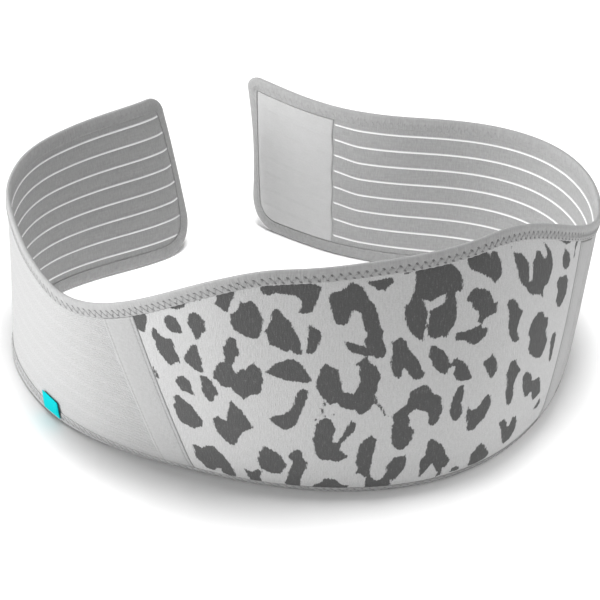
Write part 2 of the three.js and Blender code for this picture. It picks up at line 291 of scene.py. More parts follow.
def add_piece(name, bm, node, material, places=None, marks=None, weld=0.0):
    """Bends a flat piece into place, hangs it under the root body, hides the part it stands in for and
    gives it its material. Its flat places, or the places given, stay with it as the attribute called flat,
    in millimetres, and each mark is one too."""
    bmesh.ops.recalc_face_normals(bm, faces=bm.faces[:])
    mesh = bpy.data.meshes.new(name)
    bm.to_mesh(mesh)
    bm.free()
    flat = np.empty(len(mesh.vertices) * 3)
    mesh.vertices.foreach_get("co", flat)
    flat = flat.reshape(-1, 3)
    pattern = mesh.attributes.new("flat", "FLOAT_VECTOR", "POINT")
    pattern.data.foreach_set("vector", (flat if places is None else places).ravel())
    for mark, values in (marks or {}).items():
        mesh.attributes.new(mark, "FLOAT", "POINT").data.foreach_set("value", np.asarray(values, float))
    bent = (stand(flat) + to_frame) * MM
    mesh.vertices.foreach_set("co", bent.ravel())
    if weld:
        again = bmesh.new()
        again.from_mesh(mesh)
        bmesh.ops.remove_doubles(again, verts=again.verts[:], dist=weld * MM)
        bmesh.ops.recalc_face_normals(again, faces=again.faces[:])
        again.to_mesh(mesh)
        again.free()
    mesh.polygons.foreach_set("use_smooth", [True] * len(mesh.polygons))
    mesh.materials.append(material)
    piece = bpy.data.objects.new(name, mesh)
    bpy.context.scene.collection.objects.link(piece)
    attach(piece, "root")
    if node:
        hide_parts(node)
    pieces.append(piece)
    return piece


# The outline of the belt on the flat cloth, once round


RIM_STEP = 0.6


def outline(step):
    """Lengths, heights and the way inwards of points round the edge, about step apart."""
    points = []

    def corner(u, t, radius, start):
        count = max(3, int(radius * math.pi / 2 / step))
        for i in range(1, count):
            angle = math.radians(start + 90 * i / count)
            c, s = math.cos(angle), math.sin(angle)
            points.append((u + radius * c, t + radius * s, -c, -s))

    right_low, right_high = RIGHT_END["bottom_radius"], RIGHT_END["top_radius"]
    left_low, left_high = LEFT_END["bottom_radius"], LEFT_END["top_radius"]
    for u in rows_between(left_low, BELT_LENGTH - right_low, step):
        points.append((u, 0, 0, 1))
    corner(BELT_LENGTH - right_low, right_low, right_low, -90)
    for t in rows_between(right_low, WING_HEIGHT - right_high, step):
        points.append((BELT_LENGTH, t, -1, 0))
    corner(BELT_LENGTH - right_high, WING_HEIGHT - right_high, right_high, 0)
    for u in rows_between(left_high, BELT_LENGTH - right_high, step)[::-1]:
        slope = float(edge_slope(u))
        size = math.hypot(1, slope)
        points.append((u, float(height_at(u)), slope / size, -1 / size))
    corner(left_high, WING_HEIGHT - left_high, left_high, 90)
    for t in rows_between(left_low, WING_HEIGHT - left_high, step)[::-1]:
        points.append((0, t, 1, 0))
    corner(left_low, left_low, left_low, 180)
    return np.array(points, float)


# The cover stitch round the edge: a whole number of zigzags, and an even number of stations in each
STITCH_PITCH = 5.3
fine_rim = outline(RIM_STEP)
fine_gaps = np.hypot(*(np.roll(fine_rim, -1, axis=0) - fine_rim)[:, :2].T)
fine_places = np.concatenate([[0], np.cumsum(fine_gaps)])
rim_length = fine_places[-1]
stitches = int(round(rim_length / STITCH_PITCH))
pitch = rim_length / stitches


def rim_at(places):
    """Length, height and the way inwards at these places along the edge, in millimetres once round."""
    closed = np.vstack([fine_rim, fine_rim[:1]])
    found = np.column_stack([np.interp(places % rim_length, fine_places, closed[:, k]) for k in range(4)])
    found[:, 2:] /= np.linalg.norm(found[:, 2:], axis=1)[:, None]
    return found


# The parts' own box has its middle at the origin: the same shift is given to every piece
crown_ring = np.column_stack([fine_rim[:, 0], fine_rim[:, 1], 0 * fine_rim[:, 0]])
reach = np.vstack([stand(crown_ring + [0, 0, side * BINDING_HALF]) for side in (-1, 1)])
box_low, box_high = (np.array(corner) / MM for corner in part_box("edge_binding"))
to_frame = ((box_low + box_high) / 2 - (reach.min(0) + reach.max(0)) / 2) * [1, 1, 0]

# Materials


def colour(hex_value):
    """A linear colour from an sRGB hex value."""
    parts = [(hex_value >> shift & 255) / 255 for shift in (16, 8, 0)]
    return [p / 12.92 if p <= 0.04045 else ((p + 0.055) / 1.055) ** 2.4 for p in parts] + [1.0]


def material(name):
    made = bpy.data.materials.new(name)
    made.use_nodes = True
    made.node_tree.nodes.clear()
    return made


def node(mat, kind, settings=None, **links):
    """Adds a node with its settings, and links or sets its inputs: a tuple of a node and an output's name
    is linked, anything else is a value. An input's name has its spaces as underscores, or is in_ and its
    place."""
    made = mat.node_tree.nodes.new(kind)
    for key, value in (settings or {}).items():
        setattr(made, key, value)
    for key, value in links.items():
        place = int(key[3:]) if key.startswith("in_") else key.replace("_", " ")
        if isinstance(value, tuple) and isinstance(value[0], bpy.types.Node):
            mat.node_tree.links.new(value[0].outputs[value[1]], made.inputs[place])
        else:
            made.inputs[place].default_value = value
    return made


def maths(mat, operation, first, second=0.0, third=0.0):
    made = node(mat, "ShaderNodeMath", {"operation": operation}, in_0=first, in_1=second, in_2=third)
    return (made, "Value")


def product(mat, *factors):
    total = factors[0]
    for factor in factors[1:]:
        total = maths(mat, "MULTIPLY", total, factor)
    return total


def summed(mat, *parts):
    total = parts[0]
    for part in parts[1:]:
        total = maths(mat, "ADD", total, part)
    return total


def less(mat, value, taken):
    return maths(mat, "SUBTRACT", value, taken)


def mark(mat, name):
    return (node(mat, "ShaderNodeAttribute", {"attribute_name": name}), "Fac")


def flat_parts(mat):
    """The flat place of the cloth, and its three parts."""
    flat = node(mat, "ShaderNodeAttribute", {"attribute_name": "flat"})
    apart = node(mat, "ShaderNodeSeparateXYZ", Vector=(flat, "Vector"))
    return (flat, "Vector"), (apart, "X"), (apart, "Y"), (apart, "Z")


def grain(mat, vector, scale, detail=2.0, roughness=0.5, spread=1.0):
    """Noise about nought on the flat cloth, with a scale in features to the millimetre along each way."""
    turned = node(mat, "ShaderNodeMapping", Vector=vector)
    turned.inputs["Scale"].default_value = scale
    made = node(mat, "ShaderNodeTexNoise", Vector=(turned, "Vector"), Scale=1.0, Detail=detail,
                Roughness=roughness)
    return product(mat, less(mat, (made, "Fac"), 0.5), 2.0 * spread)


def remap(mat, value, low, high, to_low=0.0, to_high=1.0):
    made = node(mat, "ShaderNodeMapRange", {"interpolation_type": "SMOOTHSTEP"}, Value=value, From_Min=low,
                From_Max=high, To_Min=to_low, To_Max=to_high)
    return (made, "Result")


def away_from(mat, value, spacing):
    """Distance from the nearest of a row of even lines, in millimetres."""
    return product(mat, maths(mat, "PINGPONG", maths(mat, "DIVIDE", value, spacing), 0.5), spacing)


def mixed(mat, share, first, second):
    made = node(mat, "ShaderNodeMix", {"data_type": "RGBA"}, in_0=share, in_6=first, in_7=second)
    return (made, 2)


def plain(mat, hex_value):
    made = node(mat, "ShaderNodeRGB")
    made.outputs[0].default_value = colour(hex_value)
    return (made, 0)


def shaded(mat, base, *offsets):
    """A colour made lighter or darker by the sum of some offsets about nought."""
    share = summed(mat, 1.0, *offsets)
    made = node(mat, "ShaderNodeVectorMath", {"operation": "SCALE"}, in_0=base, Scale=share)
    return (made, "Vector")


def cloth(mat, base, height, depth_mm, roughness, sheen=0.1, gloss=0.2):
    """Joins a colour and a height about nought to a matt shader."""
    bump = node(mat, "ShaderNodeBump", Height=height, Strength=1.0, Distance=depth_mm * MM)
    shader = node(mat, "ShaderNodeBsdfPrincipled", Base_Color=base, Normal=(bump, "Normal"),
                  Roughness=roughness, Sheen_Weight=sheen, Sheen_Roughness=0.5, Specular_IOR_Level=gloss)
    node(mat, "ShaderNodeOutputMaterial", Surface=(shader, "BSDF"))
    return mat


def printed_knit():
    """Polyester jersey with a dye print. Its wales run up the cloth as fine streaks, drawn a little coarser
    than they are so that they show, and the dye soaks along them, which tears the edges of the spots."""
    mat = material("printed_jersey")
    flat = flat_parts(mat)[0]
    wales = grain(mat, flat, (0.95, 0.16, 0), 2.0, 0.6)
    specks = grain(mat, flat, (1.1, 0.9, 0), 2.0, 0.7)
    torn = grain(mat, flat, (0.8, 0.2, 0), 3.0, 0.65, 2.2)
    ink = remap(mat, summed(mat, mark(mat, "print"), torn), -0.45, 0.45)
    worn = remap(mat, summed(mat, wales, product(mat, specks, 0.7)), 0.15, 0.6, 1.0, 0.9)
    base = mixed(mat, product(mat, ink, worn), plain(mat, PANEL_GROUND), plain(mat, PANEL_INK))
    base = shaded(mat, base, product(mat, wales, 0.16), product(mat, specks, 0.24))
    return cloth(mat, base, summed(mat, wales, specks), 0.2, 0.92)


def wing_elastic():
    """Woven elastic: short brushed loops outside, which scatter the light evenly, and inside a fine weave
    with corded ribs of a whiter yarn. Near the joins the weave shows through the loops as a waffle."""
    mat = material("wing_elastic")
    flat, u, t, off = flat_parts(mat)
    inside = maths(mat, "LESS_THAN", off, 0.0)
    loops = grain(mat, flat, (0.85, 0.9, 0), 3.0, 0.75)
    courses = grain(mat, flat, (0.12, 0.75, 0))
    join_away = BELT_LENGTH / 2 - JOIN_AT
    near_join = remap(mat, maths(mat, "ABSOLUTE", less(mat, u, BELT_LENGTH / 2)),
                      join_away, join_away + WAFFLE_REACH, 1.0, 0.0)
    waffle = product(mat, maths(mat, "SINE", product(mat, u, 2 * math.pi / WAFFLE_WIDTH)),
                     maths(mat, "SINE", product(mat, t, 2 * math.pi / WAFFLE_HEIGHT)), near_join)
    cords = remap(mat, away_from(mat, less(mat, t, first_rib), RIB_PITCH), 0.8, 2.8, 0.035, 0.0)
    outer = shaded(mat, plain(mat, WING_OUTSIDE), product(mat, loops, 0.45), cords,
                   product(mat, courses, maths(mat, "MULTIPLY_ADD", near_join, 0.07, 0.03)),
                   product(mat, waffle, 0.2))
    weave = grain(mat, flat, (0.9, 0.2, 0), 2.0, 0.6)
    inner = shaded(mat, plain(mat, WING_INSIDE), product(mat, weave, 0.2), product(mat, courses, 0.12))
    inner = mixed(mat, mark(mat, "rib"), inner, plain(mat, RIB_YARN))
    base = mixed(mat, inside, outer, inner)
    return cloth(mat, base, summed(mat, loops, product(mat, waffle, 0.8)), 0.35, 0.95, 0.15)


def seam_tape():
    """Brushed polyester tape over the joins: soft and mottled, with sunk stitches along each edge. Painted
    shade darkens the sunk stitch rows, in dashes, and the rounded edges.
    """
    mat = material("join_tape")
    flat, _, t, _ = flat_parts(mat)
    mottle = grain(mat, flat, (0.35, 0.5, 0), 3.0, 0.65)
    weave = grain(mat, flat, (1.0, 0.8, 0), 2.0, 0.6)
    aside = maths(mat, "ABSOLUTE", mark(mat, "across"))
    row = remap(mat, maths(mat, "ABSOLUTE", less(mat, aside, STRIP_SEAM)), 0.35, 0.8, 1.0, 0.0)
    dash = remap(mat, away_from(mat, t, STRIP_STITCH), 0.5, 0.9, 0.35, 1.0)
    edge = remap(mat, aside, STRIP_WIDTH / 2 - 0.7, STRIP_WIDTH / 2, 0.0, -0.08)
    # Painted shade: the sunk stitch rows, in dashes, and the rounded edges are darkened.
    base = shaded(mat, plain(mat, JOIN_TAPE), product(mat, mottle, 0.15),
                  product(mat, weave, 0.1), product(mat, row, dash, -0.14), edge)
    return cloth(mat, base, summed(mat, mottle, product(mat, row, -0.6)), 0.25, 0.92)


def edge_tape():
    """Folded stretch tape with fine ribs across it. The cover stitch draws it in at each needle hole, and
    the shade in the holes is painted into the colour as two rows of short dark slanted dashes, which also
    dent the bump."""
    mat = material("binding_tape")
    flat, s, deep, off = flat_parts(mat)
    ribs = grain(mat, flat, (0.9, 0.15, 0))
    mottle = grain(mat, flat, (0.25, 0.4, 0.4), 2.0, 0.6)
    face = maths(mat, "MULTIPLY_ADD", maths(mat, "GREATER_THAN", off, 0.0), 0.85, 0.15)
    dents_and_hole_shade = 0.0
    for row, phase in ((UPPER_ROW, 0.0), (LOWER_ROW, 0.5)):
        drop = less(mat, deep, row)
        place = summed(mat, maths(mat, "MULTIPLY_ADD", drop, 0.55, phase * pitch), s)
        dash = product(mat, remap(mat, away_from(mat, place, pitch), 0.35, 0.95, 1.0, 0.0),
                       remap(mat, maths(mat, "ABSOLUTE", drop), 0.6, 1.2, 1.0, 0.0))
        dents_and_hole_shade = summed(mat, dents_and_hole_shade, dash)
    dents_and_hole_shade = product(mat, dents_and_hole_shade, face)
    crown = remap(mat, deep, 0.2, 1.4, -0.04, 0.0)
    # The dashes darken the colour: painted shade in the needle holes.
    base = shaded(mat, plain(mat, BINDING_TAPE), product(mat, ribs, 0.14),
                  product(mat, mottle, 0.12), product(mat, dents_and_hole_shade, -0.5), crown)
    return cloth(mat, base, summed(mat, ribs, product(mat, dents_and_hole_shade, -1.5)), 0.3, 0.9)


def plain_tape(name, hex_value, fineness, depth, contrast, sheen=0.1, gloss=0.2):
    """Smooth polyester: matt, with a fine even weave."""
    mat = material(name)
    flat = flat_parts(mat)[0]
    weave = grain(mat, flat, fineness, 2.0, 0.6)
    mottle = grain(mat, flat, (0.12, 0.12, 0.12))
    base = shaded(mat, plain(mat, hex_value), product(mat, weave, contrast), product(mat, mottle, 0.05))
    return cloth(mat, base, weave, depth, 0.85, sheen, gloss)


# Shades, as sRGB values before they are lit
PANEL_GROUND = 0xBBBBBB
PANEL_INK = 0x525252
WING_OUTSIDE = 0xB0B0B0
WING_INSIDE = 0xA6A6A6
RIB_YARN = 0xFFFFFF
JOIN_TAPE = 0xA8A8A8
BINDING_TAPE = 0xA3A3A3
HOOK_TAPE = 0xBABABA
LABEL_TAPE = 0x09B3B8
THREAD = 0xACACAC

# Where the stitches and the weave lie, in millimetres
STRIP_SEAM = 10.2
STRIP_STITCH = 3.2
UPPER_ROW, LOWER_ROW = 5.6, 9.3
WAFFLE_WIDTH, WAFFLE_HEIGHT = 2.1, 1.7
WAFFLE_REACH = 90
first_rib = WING_HEIGHT / 2 - (RIB_COUNT - 1) / 2 * RIB_PITCH

knit = printed_knit()
elastic = wing_elastic()
join_tape = seam_tape()
binding_tape = edge_tape()
hook_tape = plain_tape("hook_tape", HOOK_TAPE, (0.8, 0.8, 0), 0.1, 0.08)
label_tape = plain_tape("label_tape", LABEL_TAPE, (1.5, 0.5, 0), 0.1, 0.06, 0.0, 0.05)
thread = plain_tape("stitch_thread", THREAD, (1.0, 1.0, 1.0), 0.05, 0.05)

# The print: leopard spots charted on the flat panel, as lengths and heights in millimetres
SPOTS = [
    [(391, 155), (394, 160), (400, 162.5), (402, 158), (402.5, 152), (400.5, 148), (400, 142), (397, 141),
     (394, 143), (392, 149)],
    [(415, 158), (416, 163), (419, 165), (424, 164), (427, 157), (428, 150.5), (424, 150), (420, 149.5),
     (417, 153)],
    [(418, 175), (421, 172), (426, 172), (431, 176), (433, 183), (430, 180), (425, 177), (420, 176)],
    [(441, 188), (442.5, 187), (443.5, 183), (442, 184.5)],
    [(434, 171), (437, 173), (441, 171.5), (444, 167), (445, 158), (442, 155), (440, 150), (438, 147),
     (436, 152), (434, 157), (432, 162)],
    [(405, 147), (406, 149.5), (409, 147), (411, 143.5), (415, 141.5), (419, 143), (421, 138), (421, 133.5),
     (424, 127), (424, 121.5), (420, 121), (419, 118), (416, 117), (413, 121), (409, 126), (407, 131.5),
     (407, 136), (405, 140)],
    [(427, 128), (430, 134), (432, 138), (434, 142), (438, 143), (438, 136), (440, 131), (440, 124),
     (441, 118), (438, 116.5), (434, 118.5), (431, 122), (428, 124)],
    [(460, 156), (464, 154), (465, 147), (466, 140), (463, 137), (462, 131), (460, 130), (461, 125),
     (463, 122), (465, 125), (467, 128), (469, 126), (470, 129), (472, 131.5), (475, 135), (476, 131),
     (479, 128), (479, 124), (480, 118), (479, 110), (477, 104), (472, 103), (469, 100), (467, 97),
     (464, 101), (460, 104), (459, 108), (456, 107), (452, 108), (450, 112), (447, 114), (447, 118),
     (449, 124), (452, 130), (456, 132), (456, 138), (455, 145), (457, 149)],
    [(453, 194), (457, 196), (462, 197.5), (465, 198), (464, 191), (462, 187), (461, 183), (460, 178),
     (457, 178.5), (454, 182), (451, 184), (453, 187)],
    [(467, 190), (469, 187), (471, 187.5), (474, 189), (477, 186), (479, 181), (481, 174), (481, 168),
     (480, 163), (479, 158), (477, 155.5), (471, 157), (466, 160), (463, 163), (461, 170), (461, 176),
     (464, 178), (466, 180), (467, 185)],
    [(480, 201), (482, 203), (490, 202.5), (500, 203.5), (510, 203), (516.5, 200), (515, 192), (513, 186),
     (511, 179), (507, 178), (502.5, 178.5), (504, 182), (505, 188), (503, 191), (499, 194), (493, 195),
     (489, 196), (485, 193.5), (482, 195), (480, 198)],
    [(489, 184), (492, 180), (494, 176), (498, 171), (500, 165), (503, 157), (504, 150), (505, 143),
     (500, 143), (498, 147.5), (495, 144.5), (492, 147), (488, 150), (485, 150.5), (484, 156), (482.5, 163),
     (484, 168), (486, 172), (487, 180)],
    [(509, 168), (510.5, 170), (512, 166), (515, 164), (517, 158), (515, 152), (512, 144), (510, 143),
     (507, 144), (508, 152), (508.5, 160)],
    [(521, 194), (525, 194.5), (528, 195), (531, 197), (534, 201), (538, 199), (542, 196), (544, 190),
     (546, 185), (549, 181), (551, 174), (552, 168), (553, 163), (555, 158), (554, 153), (556, 147),
     (557, 140), (556, 136.5), (551, 136), (549, 139), (544, 139), (540, 141), (536, 143), (533, 146),
     (530, 153), (534, 152), (539, 149.5), (544, 146.5), (543, 152), (545, 157), (543, 162), (542, 168),
     (541, 175), (539, 177.5), (535, 178), (534, 173), (533, 168), (529, 166.5), (526, 168), (524, 172),
     (523, 178), (522, 184), (521, 190)],
    [(482, 127), (486, 131), (488, 134), (493, 137), (496, 139), (501, 137.5), (505, 133), (507, 128),
     (510, 122), (511, 118), (507, 117), (500, 118), (494, 119), (488, 122), (482, 125)],
    [(505, 112), (508, 110), (508, 105), (506, 97), (504, 90), (502, 85), (501, 78), (497, 73), (493, 70.5),
     (489, 73), (485, 77), (483, 81), (487, 84.5), (492, 86), (496, 90), (499, 96), (500, 103), (502, 109)],
    [(519, 135), (523, 131), (527, 129), (528, 123), (529, 117), (530, 111), (530, 107), (533, 108),
     (537, 106), (539, 111), (541, 117), (540, 124), (541, 130), (537, 132), (540, 134), (544, 139),
     (547, 133), (551, 129), (553, 123), (554, 119), (552, 114), (552, 108), (550, 103), (551, 98),
     (549, 95), (548, 91), (544, 88), (541, 86), (538, 91), (534, 92), (529, 94), (527, 99), (522, 97),
     (519, 101), (516, 106), (514, 111), (513, 118), (515, 124), (516, 130)],
    [(549, 104), (551, 103), (553, 96), (556, 91), (559, 83), (557, 84), (554, 91), (550, 97)],
    [(516.5, 99), (518.5, 99), (519.5, 95.5), (518, 95)],
    [(515.5, 94), (517, 94), (519.5, 85.5), (518.5, 84.5)],
    [(514.5, 88), (516, 88), (516, 86), (514.5, 86)],
    [(524, 89), (526.5, 87), (525.5, 86), (523.5, 87.5)],
    [(512.5, 83.5), (514.5, 82.5), (513.5, 80.5), (512, 81)],
    [(417, 88), (420, 89), (422, 87), (426, 83.5), (430, 80), (433, 74), (436, 68), (436, 62), (433, 60),
     (428, 57), (424, 59), (420, 60.5), (417, 66), (416, 72), (415, 76), (417, 80), (416, 84)],
    [(420, 105), (422, 109), (426, 109.5), (430, 105), (431, 98), (432.5, 93), (430, 92), (426, 94.5),
     (423, 93.5), (421, 98), (419, 102)],
    [(438, 114.5), (443, 114), (446, 110), (448, 105), (450, 98), (447, 96), (446, 91), (443, 89),
     (440, 94), (438, 100), (438.5, 108)],
    [(402.5, 111), (405, 107), (407, 100), (406, 98.5), (404, 102)],
    [(458, 95), (461, 90), (465, 86), (467, 81), (470, 74), (472, 69.5), (468, 67), (464, 63), (461, 56),
     (458, 49), (455, 48), (452, 51), (449, 55), (446, 60), (444.5, 66), (444, 72), (448, 77), (450, 73.5),
     (454, 73), (454, 79), (456, 86)],
    [(426, 39), (429, 40), (433, 37), (436, 41), (442, 43), (445, 39), (449, 34), (452, 28), (455, 20),
     (456, 11), (450, 11), (446, 13), (445, 19), (443, 19), (440, 14), (435, 15), (431, 21), (427, 26),
     (427, 33)],
    [(463, 25), (466, 22), (470, 23), (472, 26), (476, 24), (474, 18), (474, 10), (474, 2), (466, 2),
     (466, 8), (465, 14), (464, 20)],
    [(478, 53), (480, 51), (485, 48), (489, 44), (491, 39), (493, 35), (491, 29), (488, 24), (483, 23.5),
     (478, 25), (475, 28), (473, 34), (474, 40), (474, 45), (477, 48)],
    [(494, 44), (497, 49), (500, 51.5), (503, 51), (504, 44), (507, 38), (506, 32), (504, 27), (502, 20),
     (502, 12), (500, 8), (499, 0), (491, 0), (492, 8), (491, 14), (493, 20), (494, 27), (496, 32),
     (497, 37), (496, 41)],
    [(516, 82), (519, 84), (523, 83.5), (524, 79), (526, 73), (524, 66), (524, 60), (527, 60), (530, 67),
     (533, 75), (536, 81.5), (539, 78), (538, 71), (535, 67), (532, 63), (529, 58), (529, 52), (534, 46),
     (532, 43), (527, 40), (522, 42), (517, 42), (513, 46), (512, 54), (511, 62), (512, 70), (513, 77)],
    [(549, 66), (552.5, 62), (552, 55), (551, 48), (550, 40), (549, 31), (548, 24), (545, 23), (543, 27),
     (539, 28), (541, 33), (539, 40), (540, 48), (541, 55), (544, 62)],
    [(547, 32), (550, 24), (553, 19), (557, 20), (560, 27), (560, 33), (562, 38), (565, 42), (572, 43),
     (573, 39), (573, 33), (571, 27), (568, 22), (566, 17), (563, 20), (564, 11), (556, 9), (546, 9),
     (546, 19)],
    [(518, 22), (521, 22.5), (526, 21), (528, 18), (531, 14.5), (535, 14), (534, 9), (530, 4), (520, 2),
     (510, 2), (507, 4), (510, 10), (512, 15), (516, 17)],
    [(544, 200), (550, 200), (560, 201), (561, 197), (558, 194), (556, 190.5), (554, 192.5), (551, 192),
     (549, 195), (546, 197)],
    [(578, 204), (586, 205), (592, 206.5), (598, 203), (602, 199), (605, 194), (606, 188), (606.5, 182),
     (605, 178), (602, 181), (601, 178), (602, 170), (602, 162), (600, 153), (597, 149), (595, 144),
     (592, 147), (587, 145.5), (583, 150), (583, 157), (584, 164), (584, 169.5), (588, 171), (592, 172),
     (595, 176), (595, 180.5), (589, 179), (586, 176), (583, 178), (579, 180), (581, 175), (583, 168),
     (582, 160), (581, 154), (580, 145), (577, 148), (573, 153), (571, 156), (569, 163), (568, 170),
     (568, 176), (572, 180), (574, 188), (575, 195), (575, 203)],
    [(567, 203), (574, 204.5), (574, 203), (568, 201.5)],
    [(610, 206), (615, 207.5), (624, 207), (626, 201), (627, 198), (628, 202), (632, 200), (634, 195),
     (636, 188), (636, 180), (633, 178), (630, 175.5), (627, 181), (622, 186), (616, 191), (612, 194),
     (610, 200)],
    [(610, 173), (612, 177), (616, 178), (622, 175), (626, 171), (628, 165), (629, 160.5), (632, 160),
     (631, 152), (625, 151), (622, 151), (620, 146.5), (617, 150), (618, 155), (617, 159), (614, 162),
     (612, 168), (609, 170)],
    [(602, 147), (607, 146), (613, 146), (619, 147.5), (620, 144), (625, 142), (623, 136), (618, 133),
     (614, 132), (610, 136), (607, 139), (602, 140), (601, 143)],
    [(560, 149), (563, 149), (565, 152.5), (569, 148), (571, 141), (574, 136), (578, 129), (580, 122),
     (582, 117), (579, 113), (575, 114), (571, 120), (568, 126), (567, 119), (565, 116), (562, 120),
     (560, 126), (560, 134), (561, 142)],
    [(585, 141), (588, 140), (593, 135), (596, 129), (598, 123), (601, 121), (597, 117), (596, 112),
     (592, 116), (588, 121), (586, 127), (584, 132)],
    [(600, 123), (602, 126), (607, 121), (610, 116), (612, 110), (615, 103), (607, 103), (603, 106),
     (601, 112), (602, 118), (599, 119)],
    [(573, 103), (577, 106), (582, 108), (586, 104), (587, 99), (590, 97), (593, 94), (594, 88), (595, 84),
     (594, 77), (592, 71), (589, 67.5), (586, 70), (586, 76), (585, 82), (581, 84), (577, 87), (575, 85),
     (572, 82), (574, 78), (573, 72), (577, 67), (576, 60), (574, 54), (570, 48.5), (566, 50), (563, 55),
     (562, 62), (562, 70), (563, 77), (562, 83), (566, 88), (570, 91), (572, 96)],
    [(606, 100), (608.5, 99), (609, 92), (608, 83), (609, 75), (607, 67), (603, 68), (600, 76), (600, 84),
     (602, 92), (604, 97)],
    [(613, 77), (616, 73), (619, 72.5), (622, 75), (624, 79), (627, 82), (630, 80), (631, 74), (630, 68),
     (627, 60), (622, 56), (619, 52), (614, 53), (614, 60), (612, 68)],
    [(623, 115), (626, 115), (629, 118), (631, 113), (633.5, 108), (633, 101), (630, 95), (627, 99),
     (624, 107), (622, 112)],
    [(640, 153), (641, 156.5), (645, 156), (649, 151), (651, 145), (655, 141), (651, 133), (649, 127),
     (652, 118), (649, 117), (645, 120), (642, 128), (641, 136), (642, 145)],
    [(645, 102), (650, 101), (652, 95), (656, 88), (652, 84), (650, 78), (651, 70), (650, 61), (647, 60),
     (644, 67), (643, 75), (644, 83), (642, 92)],
    [(645, 198), (647, 192), (650, 190), (654, 188), (658, 182), (661, 176), (661, 168), (661, 161),
     (664, 160), (665, 168), (665, 174), (668, 177), (670, 182), (674, 178), (677, 171), (680, 169),
     (681, 172), (680, 178), (677, 184), (681, 180), (685, 173), (687, 167), (688, 160), (686, 154),
     (682, 147), (678, 147), (676, 144), (677, 137), (673, 143), (668, 146), (663, 149), (660, 153),
     (656, 160), (651, 168), (650, 177), (648, 183), (647, 188)],
    [(684, 185), (690, 182), (698, 178), (705, 174), (712, 170), (716, 165), (710, 164), (704, 166),
     (699, 172), (694, 176), (689, 181)],
    [(700, 156), (702, 161), (703, 164), (706, 160), (710, 155), (711, 149), (710, 144), (705, 144),
     (701, 149)],
    [(716, 146), (718, 146), (719, 152), (722, 157), (721, 161), (718, 158), (717, 151)],
    [(693, 140), (696, 143.5), (701, 141), (706, 139), (709, 134), (710, 128), (708, 121), (704, 117),
     (700, 115), (696, 118), (693, 124), (695, 131), (694, 136)],
    [(662, 121), (665, 126), (671, 129), (677, 126), (679, 120), (684, 116), (684, 111), (682, 106),
     (683, 101), (685, 95), (682, 88), (678, 84.5), (673, 87), (668, 92), (664, 97), (662, 103), (663, 110),
     (661, 116)],
    [(692, 96), (697, 95), (698, 91), (697, 83), (696, 76), (694, 69), (691, 72), (691, 80), (690, 90)],
    [(659, 80), (662, 82), (666, 79), (669, 74), (671, 68), (675, 66), (680, 65), (683, 58), (686, 46),
     (680, 45), (676, 45), (674, 50), (672, 58), (668, 55), (664, 57), (661, 66), (659, 73)],
    [(587, 53), (589, 56), (592, 52), (596, 48), (599, 41), (601, 35), (604, 29), (602, 22), (599, 22),
     (600, 14), (596, 12), (596, 18), (593, 25), (591, 30), (587, 22), (583, 16), (583, 24), (582, 33),
     (586, 40), (586, 46)],
    [(606, 13), (607, 18), (610, 19), (613, 16), (614, 12)],
    [(620, 27), (624, 30), (627, 35), (631, 31), (634, 24), (637, 19), (636, 14), (628, 12), (620, 13),
     (621, 20)],
    [(641, 47), (645, 48), (649, 42), (650, 36), (653, 38), (654, 45), (658, 42), (660, 36), (660, 28),
     (656, 21), (650, 19.5), (647, 26), (645, 34), (643, 41)],
    [(680, 34), (684, 36), (687, 40), (689, 35), (689, 32), (684, 31)],
]
SPOT_REACH = 4


def ink_depth(u, t):
    """How deep inside a spot each point lies, in millimetres, and below nought outside the spots."""
    depth = np.full(len(u), -float(SPOT_REACH))
    for spot in SPOTS:
        start = np.array(spot, float)
        along = np.roll(start, -1, axis=0) - start
        low, high = start.min(0) - SPOT_REACH, start.max(0) + SPOT_REACH
        near = np.flatnonzero((u > low[0]) & (u < high[0]) & (t > low[1]) & (t < high[1]))
        if not len(near):
            continue
        point = np.column_stack([u[near], t[near]])[:, None, :]
        share = np.clip(((point - start) * along).sum(2) / (along**2).sum(1), 0, 1)
        gap = np.linalg.norm(point - start - share[..., None] * along, axis=2).min(1)
        level = along[:, 1]
        crossed = (start[:, 1] > point[..., 1]) != (start[:, 1] + level > point[..., 1])
        meets = start[:, 0] + (point[..., 1] - start[:, 1]) * along[:, 0] / np.where(level == 0, 1, level)
        inside = (crossed & (point[..., 0] < meets)).sum(1) % 2 == 1
        depth[near] = np.maximum(depth[near], np.where(inside, gap, -gap))
    return depth


# Front panel

PANEL_STEP = 1.5
panel_columns = rows_between(JOIN_AT + CLEARANCE / 2, BELT_LENGTH - JOIN_AT - CLEARANCE / 2, PANEL_STEP)
panel_rows = rows_between(FOLD_SEAT, PANEL_HEIGHT - FOLD_SEAT, PANEL_STEP)


def panel_spot(u, t, side):
    height = row_height(t, u, FOLD_SEAT, PANEL_HEIGHT, TUCK_HEIGHT)
    return np.column_stack([slanted(u, height), height, side * CLOTH_HALF])


# The print lies on the outer face alone
bm, (u, t, side) = sheet(panel_columns, panel_rows, panel_spot)
places = panel_spot(u, t, side)
printed = np.where(side > 0, ink_depth(places[:, 0], places[:, 1]), -SPOT_REACH)
front_panel = add_piece("printed_front_panel", bm, "front_panel", knit,
                        marks={"print": printed})

# Wings

rib_heights = first_rib + RIB_PITCH * np.arange(RIB_COUNT)
last_rib = rib_heights[-1] + RIB_WIDTH
RIB_PROFILE = ((0.0, 1.0), (0.4, 0.8), (0.75, 0.0), (1.0, 0.0))
LIFT = 3.5
LIFT_REACH = 24
LIFT_FADE = 20
RIBS_END = 1
WING_STEP = 2.6
RIBS_STEP = 2.2
CURL_STEPS = (1, 2.5, 4, 5.5, 7, 8.5, 10)


